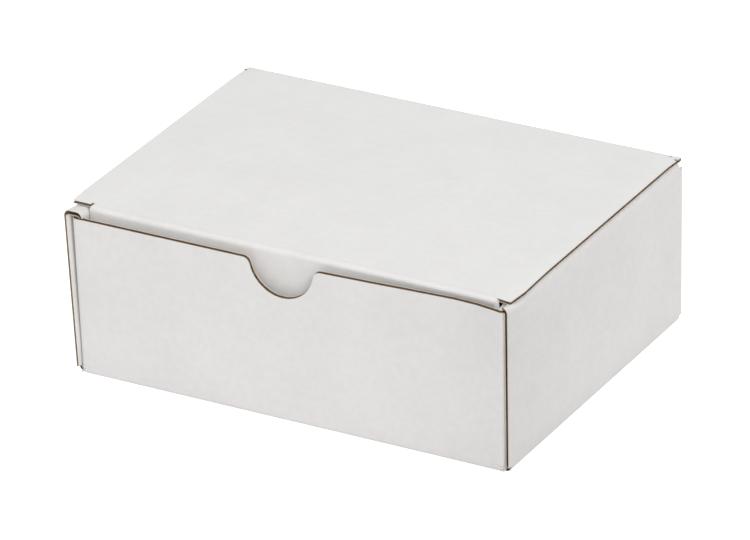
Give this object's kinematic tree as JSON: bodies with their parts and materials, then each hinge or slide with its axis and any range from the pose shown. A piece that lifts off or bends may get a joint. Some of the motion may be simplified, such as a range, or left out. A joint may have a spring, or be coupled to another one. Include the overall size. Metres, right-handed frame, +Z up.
{
  "type": "mailer box",
  "caption": "Shallow roll-end mailer box folded from one sheet of white corrugated board, with a hinged lid, a tuck flap with ears and a thumb notch in the front wall.",
  "frame": {"origin": "middle of the underside of the base", "axes": "+Z up, the front wall with the thumb notch faces -Y, +X to the right seen from the front"},
  "size_m": [0.153, 0.11, 0.056],
  "materials": {
    "tray_board": "matte white liner over brown fluting",
    "lid_board": "matte white liner over brown fluting",
    "flap_board": "matte white liner over brown fluting"
  },
  "bodies": {
    "tray": {"tray": "tray_board"},
    "lid": {"lid": "lid_board"},
    "tuck_flap": {"tuck_flap": "flap_board"}
  },
  "joints": [
    {"name": "lid_hinge", "type": "hinge", "parent": "tray", "child": "lid", "pos_m": [0, 0.05425, 0.05525], "axis": [-1, 0, 0], "range_deg": [0, 180]},
    {"name": "flap_fold", "type": "hinge", "parent": "lid", "child": "tuck_flap", "pos_m": [0, -0.0495, 0.0542], "axis": [1, 0, 0], "range_deg": [0, 18]}
  ]
}
